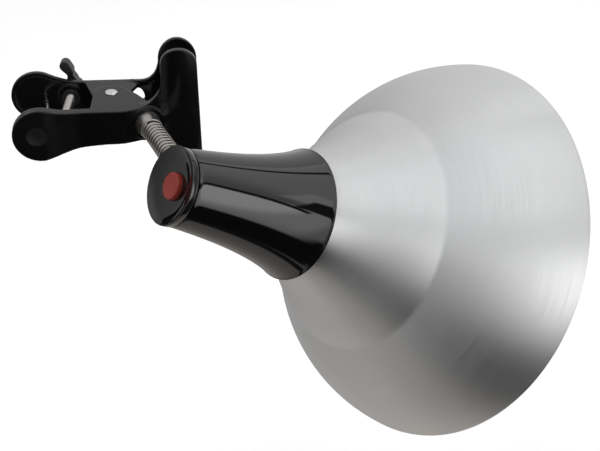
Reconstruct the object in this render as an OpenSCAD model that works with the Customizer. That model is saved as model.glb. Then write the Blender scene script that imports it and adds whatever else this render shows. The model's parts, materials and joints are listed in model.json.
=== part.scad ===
// Clip-on reading lamp.
// A two-half screw clamp grips a round pole. A short flexible neck leaves one clamp half and
// carries a trumpet-shaped lamp housing with a spun aluminium shade.
// Frame: origin on the axis of the pole, half way up the jaws; +Z up along the pole;
// +X from the clamp's hinge towards the pole; the lamp head hangs on the -Y side.
// "Near" names the clamp half on the -Y side, "far" the one on the +Y side.

/* [Clamp] */
// Radius of the pole that the pads grip
pole_r = 8; // [7.8:0.1:8.2]
// Height of the near jaw
near_jaw_h = 84.8; // [83:0.2:86]
// Height of the far jaw
far_jaw_h = 78; // [76:0.5:79]
// Half the width of each jaw
jaw_half_w = 10.6; // [10.2:0.1:11]
// Distance from the pole axis to the long edges of a jaw's outer face
jaw_edge_y = 13.6; // [13:0.1:14]
// How far the jaw's outer face bulges between its long edges
jaw_bulge = 2.8; // [2.4:0.1:3.2]
// Wall thickness of both clamp mouldings
wall_t = 2.2; // [2:0.1:2.3]
// Height of the handle plates
handle_h = 19.4; // [19:0.1:20]
// Distance from the pole axis to the outer face of the near handle
near_plate_y = 20.5; // [20:0.5:21.5]
// Distance from the pole axis to the outer face of the far handle
far_plate_y = 26.3; // [25.8:0.1:26.8]
// How much further out the near handle ends at its finger lobe
near_flare = 7; // [6:0.5:8]
// How much further out the far handle ends at its finger lobe
far_flare = 3.2; // [2.6:0.2:4]
// Distance from the pole axis to the centre of the near finger lobe
near_lobe_x = 74.5; // [74:0.5:75.5]
// Distance from the pole axis to the centre of the far finger lobe
far_lobe_x = 78; // [77:0.5:79]
// Radius of the finger lobes
lobe_r = 14.6; // [14:0.1:15.2]
// Depth of the near moulding's rim
near_rim = 5.4; // [4.6:0.1:6]
// Depth of the far moulding's rim
far_rim = 3; // [2.6:0.1:3.4]

/* [Hinge and clamp screw] */
// Distance from the pole axis to the hinge rivet
hinge_x = 36.8; // [36:0.1:37.5]
// Offset of the rivet towards the far half
hinge_y = 3.4; // [3:0.1:3.8]
// Radius of the rivet's shank
rivet_r = 2.2; // [2:0.1:2.4]
// Distance from the pole axis to the clamp screw, at the far handle
screw_x = 58.6; // [58:0.1:59.5]
// Lean of the clamp screw away from square to the clamp
screw_lean = 7; // [5:0.5:8]
// Radius of the clamp screw
screw_r = 2.7; // [2.5:0.1:2.8]
// Reach of each wing of the wing knob
wing_reach = 16.8; // [16:0.2:18]

/* [Neck] */
// Outer radius of the flexible coil
coil_r = 5.85; // [5.5:0.05:6]
// Length of the plain ferrule at the clamp
ferrule_len = 8.5; // [8:0.5:9]
// Length of the plain ferrule at the lamp housing
end_ferrule_len = 6; // [5.5:0.5:6.5]
// Lean of the neck's root away from the clamp's square
neck_lean = 16; // [14:1:18]

/* [Lamp head] */
// Radius of the round end cap
cap_r = 20; // [19.8:0.1:20.4]
// Radius of the push button in the cap
button_r = 6.8; // [6.5:0.1:7]
// Travel of the push button
button_travel = 2; // [1.5:0.1:2]
// Distance from the cap's face to the front edge of the housing
housing_len = 78; // [77.5:0.1:78.5]
// Radius of the housing at its front edge
housing_r = 35.3; // [34.8:0.1:36]
// Distance from the cap's face to the crease between the shade's two domes
crease_a = 125.6; // [124:0.1:127]
// Radius of the shade at the crease
crease_r = 66.5; // [65:0.1:68]
// Distance from the cap's face to the shade's mouth
mouth_a = 186.6; // [184:0.1:189]
// Radius of the shade's mouth
mouth_r = 109.8; // [108:0.1:112]
// Thickness of the spun sheet
sheet_t = 1; // [0.8:0.1:1.2]
// Radius of the bulb
bulb_r = 30; // [27:0.5:31]

/* [Hidden] */
$fn = 72;
play = 0.05;                      // radial clearance of running fits
air = 0.3;                        // least air between pieces of different bodies
step_z = (wall_t + air) / 2;      // each moulding sits this much above or below the middle
hinge_pos = [-hinge_x, hinge_y, 0];
flare_x = 52;                     // where the handles start to flare towards their lobes
flare_len = 22;
near_shoulder_x = 34;             // where the shoulders begin, between handle and jaw
far_shoulder_x = 27;
near_fillet = 13;                 // fillets between the jaws and the handles
far_fillet = 18.5;
near_top_r = 9.7;                 // rounding of the near jaw's ends
near_foot_r = 11.5;
near_ear_span = [-48.8, -14];     // reach of the ears along their moulding's wall
far_ear_span = [-51.8, -20];
near_ear_edge = [[-18.8, -6], [-22.9, 1.2], [-27.6, 7.4]];  // ears' edges towards the jaws
far_ear_edge = [[-21, -21], [-25, -12.8], [-28.6, -4.6]];
ear_r = 9.8;                      // rounded end of the ears, around the rivet
boss_r = 9.3;                     // round seat of the neck on a moulding's shoulder
far_boss_r = 6.6;
boss_x = 18.6;
far_boss_x = 21.2;
boss_h = 1.3;
stud_r = 4.2;                     // hollow stud that holds the neck to the clamp
stud_bore_r = 2.7;
neck_z = 1.6;                     // height of the neck's root
jaw_rim = 3.4;                    // depth of the near moulding's rim around its jaw
near_shape = [near_plate_y, near_shoulder_x, near_flare, near_rim, near_jaw_h, near_lobe_x,
              boss_x, neck_z, boss_r, near_fillet, near_top_r, near_foot_r, -1,
              near_ear_span, near_ear_edge];
far_shape = [far_plate_y, far_shoulder_x, far_flare, far_rim, far_jaw_h, far_lobe_x,
             far_boss_x, -neck_z, far_boss_r, far_fillet, jaw_half_w, jaw_half_w, 1,
             far_ear_span, far_ear_edge];
ear_top = step_z + handle_h / 2;
pad_h = far_jaw_h - 2 * jaw_half_w;
stop_x = 73.7;                    // limit pin between the finger lobes, where it leaves the
stop_z = 1.6;                     // far one, and its lean away from square to the clamp
stop_lean = 5;
stop_r = 0.9;
stop_len = 41;
bush_r = 5;
screw_boss_r = 7.4;               // boss around the bush on the far handle
bush_out = -1;                    // outer end of the bush, on the screw's axis
bush_len = 7.6;
foot_s = 46.8;                    // tip of the foot, just off the near handle
foot_r = 4.2;
knob_gap = 2.4;                   // travel left between the knob and the bush
knob_len = 9;
coil_parts = 5;                   // stiff stretches that stand for the flexible coil
nut_r = 5.8;
nut_back = 3.6;                   // moulding's inner face, behind the outer face of the boss
end_gap = 0.6;                    // from a ferrule's end to the first bend of the coil
head_pos = [-10.96, -91.14, 5.76];
head_heading = 20.38;             // direction of the lamp's axis, from +X towards +Y
head_dip = 26.42;                 // and its fall below level
entry_turn = 94;                  // place around the housing where the neck enters
entry_a = 17;                     // and its distance from the cap's face
entry_r = 20;
entry_seat_r = 7.6;               // flat seat of the neck on the housing
shell_t = 2.2;                    // wall of the black housing
groove_a = 3.4;                   // fine groove between the cap and the housing
back_a = groove_a + 0.8;          // back edge of the housing
button_top = 0.2;                 // how far the button lies below the cap's edge
dish_a = 2.8;                     // depth of the cap's dish
switch_a = 12.8;                  // back of the switch
switch_h = 8;
holder_a = 38;                    // back of the lampholder
holder_r = 17;
web_a = 66;                       // web inside the housing that carries the lampholder
web_t = 3;
seat_a = 73.5;                    // flat seat of the shade
bulb_front = 170;

// ---- functions ----

function smooth(t) = let (u = min(max(t, 0), 1)) u * u * (3 - 2 * u);

function bezier(p, t) =
    pow(1 - t, 3) * p[0] + 3 * pow(1 - t, 2) * t * p[1]
    + 3 * (1 - t) * t * t * p[2] + pow(t, 3) * p[3];

function curve(p, steps) = [for (i = [0 : steps]) bezier(p, i / steps)];

// Arc from p to q that stands out to the left of the chord by sag
function arc(p, q, sag, steps) =
    let (half = norm(q - p) / 2, r = (half * half + sag * sag) / (2 * sag),
         dir = (q - p) / (2 * half), out = [-dir[1], dir[0]],
         centre = (p + q) / 2 - out * (r - sag), spread = asin(half / r))
    [for (i = [0 : steps]) let (a = spread * (2 * i / steps - 1))
        centre + r * (sin(a) * dir + cos(a) * out)];

function flip(list) = [for (i = [len(list) - 1 : -1 : 0]) list[i]];

// The same line moved sideways by t, to its right
function beside(line, t) =
    [for (i = [0 : len(line) - 1])
        let (d = line[min(i + 1, len(line) - 1)] - line[max(i - 1, 0)])
        line[i] + t * [d[1], -d[0]] / norm(d)];

// Distance from the pole axis to a moulding's outer face, at x along the clamp. A shape is
// [handle's distance from the pole axis, where its shoulder begins, flare, rim depth,
//  jaw height, lobe's distance, neck hole's distance and height, radius of its boss,
//  fillet at the jaw, rounding of the jaw's upper and lower ends, side that ends up below,
//  reach of its ears along the wall, the ears' edge towards the jaw]
function face_y(x, shape) =
    x > -jaw_half_w
        ? jaw_edge_y + jaw_bulge * (1 - pow(x / jaw_half_w, 2))
        : jaw_edge_y
            + (shape[0] - jaw_edge_y) * smooth((-x - jaw_half_w) / (shape[1] - jaw_half_w))
            + shape[2] * smooth((-x - flare_x) / flare_len);

// The lamp's axis and the directions square to it
head_tilt = 90 + head_dip;
head_u = [sin(head_tilt) * cos(head_heading), sin(head_tilt) * sin(head_heading), cos(head_tilt)];
head_v = [cos(head_tilt) * cos(head_heading), cos(head_tilt) * sin(head_heading), -sin(head_tilt)];
head_w = [-sin(head_heading), cos(head_heading), 0];

// The neck's middle line
root_dir = [sin(neck_lean), -cos(neck_lean), 0];
root = [-boss_x, -face_y(-boss_x, near_shape), neck_z] + boss_h * root_dir;
entry_dir = cos(entry_turn) * head_v + sin(entry_turn) * head_w;
entry = head_pos + entry_a * head_u + entry_r * entry_dir;
coil_start = root + ferrule_len * root_dir;
coil_end = entry + end_ferrule_len * entry_dir;
coil_reach = norm(coil_end - coil_start) / 3;
neck_line = [coil_start, coil_start + coil_reach * root_dir,
             coil_end + coil_reach * entry_dir, coil_end];

// ---- placing ----

module on_head() {
    translate(head_pos) rotate([0, head_tilt, head_heading]) children();
}

module on_entry() {
    on_head() translate([0, 0, entry_a]) rotate([0, 90, entry_turn]) children();
}

module on_root() {
    translate(root) rotate([90, 0, neck_lean]) children();
}

// Along the line from p towards q
module along(p, q) {
    d = (q - p) / norm(q - p);
    translate(p) rotate([0, acos(d[2]), atan2(d[1], d[0])]) children();
}

// On the clamp screw's axis, at s from the far handle's face, +Z towards the near handle
module on_screw(s) {
    translate([-screw_x, face_y(-screw_x, far_shape), 0]) rotate([90, 0, -screw_lean])
        translate([0, 0, s]) children();
}

module ring(outer_r, inner_r, h) {
    difference() {
        cylinder(r = outer_r, h = h);
        translate([0, 0, -1]) cylinder(r = inner_r, h = h + 2);
    }
}

// ---- clamp mouldings, drawn for the near side ----

// Front view of a moulding, every edge moved in by inset
module front_view(inset, shape) {
    jaw_top = shape[4] / 2;
    lobe_x = shape[5];
    jaw_fillet = shape[9];
    narrow_r = shape[10];         // rounding of the jaw's upper end
    wide_r = shape[11];           // and of its lower end
    down = shape[12];             // 1 or -1: the drawing's side that ends up below
    half = handle_h / 2;
    hull() {
        translate([narrow_r - jaw_half_w, down * (narrow_r - jaw_top)])
            circle(narrow_r - inset);
        translate([wide_r - jaw_half_w, down * (jaw_top - wide_r)]) circle(wide_r - inset);
    }
    translate([-lobe_x, inset - half]) square([lobe_x, handle_h - 2 * inset]);
    translate([-lobe_x, 0]) circle(lobe_r - inset);
    for (s = [-1, 1]) {
        lobe_fillet = s == down ? 160 : 42;
        reach = sqrt(pow(lobe_r + lobe_fillet, 2) - pow(half + lobe_fillet, 2));
        touch = lobe_r / (lobe_r + lobe_fillet);
        mirror([0, (1 - s) / 2]) {
            difference() {
                translate([-jaw_half_w - jaw_fillet, 0])
                    square([jaw_fillet + 1, half + jaw_fillet]);
                translate([-jaw_half_w - jaw_fillet, half + jaw_fillet])
                    circle(jaw_fillet + inset);
                translate([-jaw_half_w + inset, half]) square([jaw_half_w, jaw_fillet + 1]);
            }
            difference() {
                polygon([[-lobe_x, 0], [reach - lobe_x, 0], [reach - lobe_x, half],
                         touch * [reach, half + lobe_fillet] - [lobe_x, 0]]);
                translate([reach - lobe_x, half + lobe_fillet])
                    circle(lobe_fillet + inset, $fn = 360);
            }
        }
    }
}

function rim_depth(x, shape) =
    shape[3] - max(0, shape[3] - jaw_rim) * smooth((x + 24) / 12);

// Plan view of the wall, from a depth behind its outer face to its inner face or its rim's edge
module wall_view(shape, depth, rim = false) {
    xs = [for (x = [-far_lobe_x - lobe_r - 1 : 3 : -jaw_half_w - 1]) x,
          for (i = [-6 : 8]) i * jaw_half_w / 6];
    polygon(concat(
        [for (x = xs) [x, depth - face_y(x, shape)]],
        flip([for (x = xs) [x, (rim ? rim_depth(x, shape) : wall_t) - face_y(x, shape)]])));
}

// Plan view of an ear, from the wall to its rounded end at the rivet
module ear_view(shape, pin_y) {
    span = shape[13];
    steps = 6;
    back = [for (i = [0 : steps]) let (x = span[0] + (span[1] - span[0]) * i / steps)
        [x, wall_t / 2 - face_y(x, shape)]];
    translate([-hinge_x, pin_y]) circle(ear_r);
    polygon(concat(back, shape[14], [[-hinge_x, pin_y + 4], [-hinge_x - ear_r, pin_y]]));
}

module on_neck_hole(shape) {
    translate([-shape[6], -face_y(-shape[6], shape), shape[7] - step_z])
        rotate([90, 0, neck_lean]) children();
}

module moulding(shape, pin_y, pin_hole_r) {
    boss_len = 4.4;
    tall = near_jaw_h + 2;
    wide = 90;
    translate([0, 0, step_z]) difference() {
        union() {
            intersection() {
                linear_extrude(tall, center = true) wall_view(shape, 0);
                rotate([90, 0, 0]) linear_extrude(wide, center = true) front_view(0, shape);
            }
            intersection() {
                linear_extrude(tall, center = true) wall_view(shape, wall_t / 2, true);
                rotate([90, 0, 0]) linear_extrude(wide, center = true) difference() {
                    front_view(0, shape);
                    front_view(wall_t, shape);
                }
            }
            for (z = [-handle_h / 2, handle_h / 2 - wall_t])
                translate([0, 0, z]) linear_extrude(wall_t) ear_view(shape, pin_y);
            on_neck_hole(shape) translate([0, 0, boss_h - boss_len])
                cylinder(r = shape[8], h = boss_len);
        }
        on_neck_hole(shape) cylinder(r = stud_r + play, h = 30, center = true);
        translate([-hinge_x, pin_y, 0]) cylinder(r = pin_hole_r, h = tall, center = true);
    }
}

module near_half() {
    color([0.05, 0.05, 0.055]) difference() {
        moulding(near_shape, hinge_y, rivet_r);
        translate([-near_lobe_x - 2, -face_y(-near_lobe_x, near_shape) - 13, step_z]) sphere(14);
    }
}

module far_half() {
    color([0.05, 0.05, 0.055]) difference() {
        union() {
            rotate([180, 0, 0]) moulding(far_shape, -hinge_y, rivet_r + play);
            on_screw(wall_t / 2) cylinder(r = screw_boss_r, h = 3.4);
        }
        on_screw(-20) cylinder(r = bush_r, h = 50);
    }
}

// Rubber pad that lines a jaw and grips the pole, on side -1 or 1
module pad(side) {
    half_w = jaw_half_w - wall_t - 2;
    edge_y = 4;
    color([0.09, 0.09, 0.09]) difference() {
        rotate([side > 0 ? 180 : 0, 0, 0]) translate([0, 0, step_z])
            linear_extrude(pad_h, center = true) intersection() {
                polygon(concat(
                    [for (i = [-6 : 6]) let (x = i * jaw_half_w / 6)
                        [x, wall_t - face_y(x, near_shape)]],
                    [[jaw_half_w, -edge_y], [-jaw_half_w, -edge_y]]));
                square([2 * half_w, 3 * jaw_edge_y], center = true);
            }
        cylinder(r = pole_r, h = 2 * pad_h, center = true);
    }
}

module near_pad() { pad(-1); }

module far_pad() { pad(1); }

// ---- hinge ----

module hinge_rivet() {
    head_r = 3.5;
    head_h = 1.4;
    color([0.78, 0.78, 0.78]) translate(hinge_pos) {
        translate([0, 0, -ear_top]) cylinder(r = rivet_r, h = 2 * ear_top);
        for (s = [0, 1]) mirror([0, 0, s]) translate([0, 0, ear_top]) rotate_extrude()
            polygon(concat([[0, 0], [head_r, 0]],
                [for (a = [15 : 15 : 90]) [head_r * cos(a), head_h * sin(a)]]));
    }
}

// Torsion spring around the rivet, between the ears
module hinge_spring() {
    wire_r = 0.7;
    coil_wire_r = 1;
    coil_mid_r = 3.6;
    pitch = 1.9;
    color([0.6, 0.6, 0.6]) translate(hinge_pos) {
        for (i = [-2 : 2])
            translate([0, 0, i * pitch]) rotate_extrude()
                translate([coil_mid_r, 0]) circle(coil_wire_r, $fn = 24);
        translate([coil_mid_r, 0, -2 * pitch]) rotate([90, 0, -8])
            cylinder(r = wire_r, h = 15.5, $fn = 24);
    }
}

// ---- clamp screw ----

// Pin that keeps the two finger lobes from closing fully
module stop_pin() {
    color([0.7, 0.7, 0.7]) translate([-stop_x, face_y(-stop_x, far_shape) - 1, stop_z])
        rotate([90, 0, stop_lean]) cylinder(r = stop_r, h = stop_len, $fn = 24);
}

module screw_bush() {
    color([0.72, 0.58, 0.32]) on_screw(bush_out) ring(bush_r, screw_r + play, bush_len);
}

module clamp_screw() {
    start = bush_out - knob_gap - 1;
    foot_cover = 1.5;
    color([0.72, 0.72, 0.72]) on_screw(start)
        cylinder(r = screw_r, h = foot_s - foot_cover - start);
}

// Foot that the screw turns in and that bears on the near handle
module screw_foot() {
    foot_h = 4.4;
    socket_h = 2.9 + play;
    color([0.12, 0.12, 0.12]) on_screw(foot_s - foot_h) difference() {
        union() {
            cylinder(r1 = foot_r - 0.8, r2 = foot_r, h = 2);
            translate([0, 0, 2]) cylinder(r = foot_r, h = foot_h - 2);
        }
        translate([0, 0, -1]) cylinder(r = screw_r + play, h = socket_h + 1);
    }
}

module wing_knob() {
    blade_r = 2.9;
    blade_h = knob_len - 1.4;
    color([0.06, 0.06, 0.06]) on_screw(bush_out - knob_gap - knob_len) {
        difference() {
            cylinder(r1 = 5.4, r2 = 6.4, h = knob_len);
            translate([0, 0, knob_len - 1]) cylinder(r = screw_r, h = 2);
        }
        for (a = [90, 270]) rotate(a) translate([0, 0, 0.4]) {
            hull() {
                translate([3, 0]) cylinder(r = blade_r, h = blade_h, $fn = 24);
                translate([8.4, 1]) cylinder(r = blade_r, h = blade_h, $fn = 24);
            }
            hull() {
                translate([8.4, 1]) cylinder(r = blade_r, h = blade_h, $fn = 24);
                translate([wing_reach - blade_r, 4.4])
                    cylinder(r = blade_r, h = blade_h - 1, $fn = 24);
            }
        }
    }
}

// ---- neck ----

module neck_stud() {
    color([0.7, 0.7, 0.7]) on_root() translate([0, 0, -11]) ring(stud_r, stud_bore_r, 17);
}

module neck_nut() {
    color([0.66, 0.6, 0.42]) on_root() translate([0, 0, -nut_back - 4.1]) difference() {
        rotate(30) cylinder(r = nut_r, h = 3, $fn = 6);
        translate([0, 0, -1]) cylinder(r = stud_r, h = 5);
    }
}

// Rubber inlet for the cord, in the stud's inner end
module cord_grommet() {
    color([0.08, 0.08, 0.08]) on_root() translate([0, 0, -13]) difference() {
        union() {
            cylinder(r1 = 3.6, r2 = stud_r, h = 2);
            translate([0, 0, 2]) cylinder(r = stud_bore_r, h = 4);
        }
        translate([0, 0, -1]) cylinder(r = 1.9, h = 8);
    }
}

module neck_ferrule() {
    color([0.72, 0.71, 0.69]) on_root() difference() {
        cylinder(r1 = 7.1, r2 = 6, h = ferrule_len - end_gap);
        translate([0, 0, -1]) cylinder(r = stud_r, h = 20);
    }
}

// One stiff stretch of the coil, with cone-shaped ends that leave room to bend
module coil_part(i) {
    p = bezier(neck_line, i / coil_parts);
    q = bezier(neck_line, (i + 1) / coil_parts);
    length = norm(q - p);
    tip_r = 1.6;
    cone = 0.8;
    color([0.68, 0.68, 0.67]) along(p, q) rotate_extrude() polygon([
        [0, 0.2], [tip_r, 0.2], [coil_r, 0.2 + cone],
        [coil_r, length - 0.2 - cone], [tip_r, length - 0.2], [0, length - 0.2]]);
}

module end_ferrule() {
    color([0.72, 0.71, 0.69]) on_entry() {
        translate([0, 0, entry_r - 0.6])
            cylinder(r1 = 6.4, r2 = 6, h = end_ferrule_len + 0.6 - end_gap);
        translate([0, 0, entry_r - 7]) cylinder(r = stud_r, h = 7);
    }
}

module end_nut() {
    color([0.66, 0.6, 0.42]) on_entry() translate([0, 0, entry_r - 6]) difference() {
        cylinder(r = nut_r, h = 2.4, $fn = 6);
        translate([0, 0, -1]) cylinder(r = stud_r, h = 5);
    }
}

// ---- lamp head; profiles are [radius, distance from the cap's face] ----

module housing() {
    skin = curve([[19.7, back_a], [22.6, 35], [27, 60], [housing_r, housing_len]], 16);
    lining = [for (p = skin) [p[0] - shell_t, p[1]]];
    color([0.04, 0.04, 0.045]) on_head() difference() {
        union() {
            rotate_extrude() polygon(concat(skin, flip(lining)));
            translate([0, 0, web_a]) ring(30, holder_r + 0.6, web_t);
            intersection() {
                translate([0, 0, entry_a]) rotate([0, 90, entry_turn])
                    translate([0, 0, entry_r - 3.6]) cylinder(r = entry_seat_r, h = 3);
                cylinder(r = entry_r + 1, h = 40);
            }
        }
        translate([0, 0, entry_a]) rotate([0, 90, entry_turn]) {
            translate([0, 0, 10]) cylinder(r = stud_r, h = 20);
            translate([0, 0, entry_r - 0.6]) cylinder(r = entry_seat_r, h = 10);
        }
        holder_screw_places() translate([0, 0, -10]) cylinder(r = 1.3, h = 20, $fn = 24);
    }
}

module end_cap() {
    edge = 0.5;
    dish_r = 19.3;
    color([0.04, 0.04, 0.045]) on_head() difference() {
        rotate_extrude() polygon(concat(
            [[0, dish_a]],
            [for (r = [8 : 1.13 : dish_r]) [r, dish_a * (1 - pow(r / dish_r, 5))]],
            [[dish_r, 0]],
            [for (a = [0 : 15 : 90]) [cap_r - edge + edge * sin(a), edge - edge * cos(a)]],
            [[cap_r, groove_a], [18.9, groove_a], [18.9, back_a], [17.3, back_a],
             [17.3, back_a + 4], [15.6, back_a + 4], [15.6, dish_a + 2], [0, dish_a + 2]]));
        cylinder(r = button_r + play, h = 20, center = true);
    }
}

module switch_button() {
    color([0.52, 0.17, 0.14]) on_head() rotate_extrude() polygon(concat(
        [[0, button_top], [button_r - 0.8, button_top]],
        [for (a = [30 : 30 : 90])
            [button_r - 0.8 + 0.8 * sin(a), button_top + 0.8 - 0.8 * cos(a)]],
        [[button_r, dish_a + 2.3], [button_r + 1.2, dish_a + 2.3], [button_r + 1.2, dish_a + 3.5],
         [2.4, dish_a + 3.5], [2.4, dish_a + 6.4], [0, dish_a + 6.4]]));
}

module button_spring() {
    color([0.7, 0.7, 0.7]) on_head() for (i = [0 : 4])
        translate([0, 0, dish_a + 4.2 + 1.25 * i]) rotate_extrude()
            translate([4.4, 0]) circle(0.62, $fn = 24);
}

module switch_body() {
    color([0.15, 0.14, 0.13]) on_head() translate([0, 0, switch_a]) difference() {
        union() {
            cylinder(r = 7, h = switch_h);
            for (s = [-1, 1]) translate([s * 4 - 0.5, -1.5, switch_h - 1]) cube([1, 3, 5]);
        }
        translate([0, 0, -1]) cylinder(r = 2.6, h = 5);
    }
}

module holder_body() {
    color([0.1, 0.09, 0.08]) on_head() difference() {
        union() {
            translate([0, 0, holder_a]) cylinder(r = holder_r, h = seat_a + 5 - holder_a);
            translate([0, 0, web_a + web_t]) cylinder(r = 24, h = seat_a - web_a - web_t);
        }
        translate([0, 0, holder_a + 8]) cylinder(r = 14.2, h = 60);
        holder_screw_places() translate([0, 0, -10]) cylinder(r = 1.7, h = 20, $fn = 24);
    }
}

module holder_screw_places() {
    for (s = [-1, 1]) translate([0, s * 20.5, web_a + web_t]) children();
}

module holder_screws() {
    color([0.75, 0.75, 0.75]) on_head() holder_screw_places() {
        translate([0, 0, -3]) cylinder(r = 1.3, h = 6, $fn = 24);
        translate([0, 0, 2.4]) cylinder(r = 1.3, h = 1.4, $fn = 24);
    }
}

module holder_thread() {
    color([0.75, 0.62, 0.3]) on_head() translate([0, 0, holder_a + 12]) ring(14.2, 13.4, 27);
}

module holder_contact() {
    color([0.75, 0.62, 0.3]) on_head() translate([0, 0, holder_a + 8])
        cylinder(r1 = 5.5, r2 = 3.5, h = 3.6);
}

module shade_ring() {
    color([0.1, 0.09, 0.08]) on_head() translate([0, 0, seat_a + sheet_t])
        ring(22.5, holder_r, 3.2);
}

module shade() {
    rim_r = 1.2;
    outer_dome = arc([crease_r, crease_a], [mouth_r, mouth_a], -7, 20);
    shade_line = concat(
        [[holder_r + 0.4, seat_a], [29.6, seat_a]],
        curve([[31, seat_a + 0.8], [37.2, 96], [55, 107], [crease_r, crease_a]], 18),
        [for (i = [1 : 20]) outer_dome[i]]);
    color([0.78, 0.78, 0.77]) on_head() rotate_extrude($fn = 144) {
        polygon(concat(shade_line, flip(beside(shade_line, -sheet_t))));
        translate([mouth_r - 0.4, mouth_a]) circle(rim_r, $fn = 24);
    }
}

module bulb_glass() {
    neck_a = 82;
    centre_a = bulb_front - bulb_r;
    glass_t = 1;
    neck = curve([[12.6, neck_a], [14, neck_a + 20], [bulb_r - 2, centre_a - 24],
                  [bulb_r, centre_a]], 12);
    color([0.95, 0.95, 0.93]) on_head() rotate_extrude() polygon(concat(
        neck,
        [for (a = [10 : 10 : 90]) [bulb_r * cos(a), centre_a + bulb_r * sin(a)]],
        [for (a = [90 : -10 : 10])
            [(bulb_r - glass_t) * cos(a), centre_a + (bulb_r - glass_t) * sin(a)]],
        flip([for (p = neck) [p[0] - glass_t, p[1]]])));
}

module bulb_cap() {
    cap_a = holder_a + 15;
    color([0.8, 0.78, 0.7]) on_head() {
        translate([0, 0, cap_a]) difference() {
            cylinder(r = 13.2, h = 29);
            translate([0, 0, 2]) cylinder(r = 12.4, h = 40);
        }
        translate([0, 0, holder_a + 11.6]) cylinder(r1 = 4, r2 = 8, h = 3.4);
    }
}

// Insulated lead from the neck's inner end to the back of the lampholder, on side 1 or -1
module lead(side) {
    lead_r = 1.1;
    start_r = 11.5;
    apart = 1.35;
    p = [start_r * cos(entry_turn) + apart * side, start_r * sin(entry_turn), entry_a];
    q = [6 * side, 0, holder_a - 0.7];
    on_head() along(p, q) cylinder(r = lead_r, h = norm(q - p), $fn = 24);
}

module live_lead() { color([0.45, 0.25, 0.12]) lead(1); }

module neutral_lead() { color([0.15, 0.3, 0.6]) lead(-1); }

near_half();
far_half();
near_pad();
far_pad();
hinge_rivet();
hinge_spring();
stop_pin();
screw_bush();
clamp_screw();
screw_foot();
wing_knob();
neck_stud();
neck_nut();
cord_grommet();
neck_ferrule();
coil_part(0);  // neck_coil_1
coil_part(1);  // neck_coil_2
coil_part(2);  // neck_coil_3
coil_part(3);  // neck_coil_4
coil_part(4);  // neck_coil_5
end_ferrule();
end_nut();
housing();
end_cap();
switch_button();
button_spring();
switch_body();
holder_body();
holder_screws();
holder_thread();
holder_contact();
shade_ring();
shade();
bulb_glass();
bulb_cap();
live_lead();
neutral_lead();
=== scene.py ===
"""Clip-on reading lamp: the looks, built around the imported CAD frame."""

import json
import math

import bmesh
import bpy
import numpy as np
from mathutils import Matrix, Vector

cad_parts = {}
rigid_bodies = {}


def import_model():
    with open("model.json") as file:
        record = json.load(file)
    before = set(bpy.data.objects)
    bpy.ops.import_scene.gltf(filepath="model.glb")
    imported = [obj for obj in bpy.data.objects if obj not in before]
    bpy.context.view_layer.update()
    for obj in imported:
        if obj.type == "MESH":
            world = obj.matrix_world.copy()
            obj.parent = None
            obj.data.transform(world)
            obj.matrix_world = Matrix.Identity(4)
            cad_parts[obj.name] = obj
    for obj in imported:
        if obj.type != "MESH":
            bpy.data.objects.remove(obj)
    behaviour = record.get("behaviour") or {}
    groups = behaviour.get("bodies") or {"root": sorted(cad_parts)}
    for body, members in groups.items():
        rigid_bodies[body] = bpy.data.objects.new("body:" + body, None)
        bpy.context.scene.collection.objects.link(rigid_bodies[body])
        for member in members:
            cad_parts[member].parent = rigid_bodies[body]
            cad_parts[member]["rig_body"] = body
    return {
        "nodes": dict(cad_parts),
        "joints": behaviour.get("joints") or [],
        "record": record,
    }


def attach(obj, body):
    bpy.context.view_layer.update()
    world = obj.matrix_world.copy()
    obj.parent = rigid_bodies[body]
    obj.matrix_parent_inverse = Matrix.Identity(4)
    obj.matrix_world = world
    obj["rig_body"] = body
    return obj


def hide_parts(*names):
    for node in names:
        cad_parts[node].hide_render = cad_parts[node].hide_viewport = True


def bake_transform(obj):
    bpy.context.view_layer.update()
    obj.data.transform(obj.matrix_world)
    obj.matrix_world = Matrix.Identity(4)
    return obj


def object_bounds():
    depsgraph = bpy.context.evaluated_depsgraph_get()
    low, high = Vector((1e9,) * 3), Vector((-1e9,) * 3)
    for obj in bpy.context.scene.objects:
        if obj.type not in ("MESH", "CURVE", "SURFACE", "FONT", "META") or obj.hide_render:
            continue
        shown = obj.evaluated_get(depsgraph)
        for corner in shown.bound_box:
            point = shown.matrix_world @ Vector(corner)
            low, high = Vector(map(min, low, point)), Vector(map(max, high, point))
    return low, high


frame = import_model()
cad_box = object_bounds()

MM = 0.001  # every size below is in millimetres

# ---- places, read from the frame ----

joints = {j["name"]: j for j in frame["joints"]}


def points_of(node):
    """The vertices of a CAD node, in millimetres."""
    return np.array([v.co for v in frame["nodes"][node].data.vertices]) / MM


def axis_frame(node, z, x=None):
    """Frame on a turned node's axis: local Z along z, origin at the node's lowest end along it."""
    z = Vector(z).normalized()
    x = Vector(x) if x is not None else Vector((-z.y, z.x, 0)).cross(z)
    x = (x - x.dot(z) * z).normalized()
    y = z.cross(x)
    co = points_of(node)
    middle = [(co @ np.array(d)).min() + np.ptp(co @ np.array(d)) / 2 for d in (x, y)]
    origin = middle[0] * x + middle[1] * y + (co @ np.array(z)).min() * z
    m = Matrix((x, y, z)).transposed().to_4x4()
    m.translation = origin
    return m


LAMP = axis_frame("end_cap", joints["button_press"]["axis"])  # Z runs from the cap to the mouth
SCREW = axis_frame("clamp_screw", joints["wing_turn"]["axis"], (1, 0, 0))
HINGE = Matrix.Translation(Vector(joints["jaw_open"]["pos_m"]) / MM)

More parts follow.
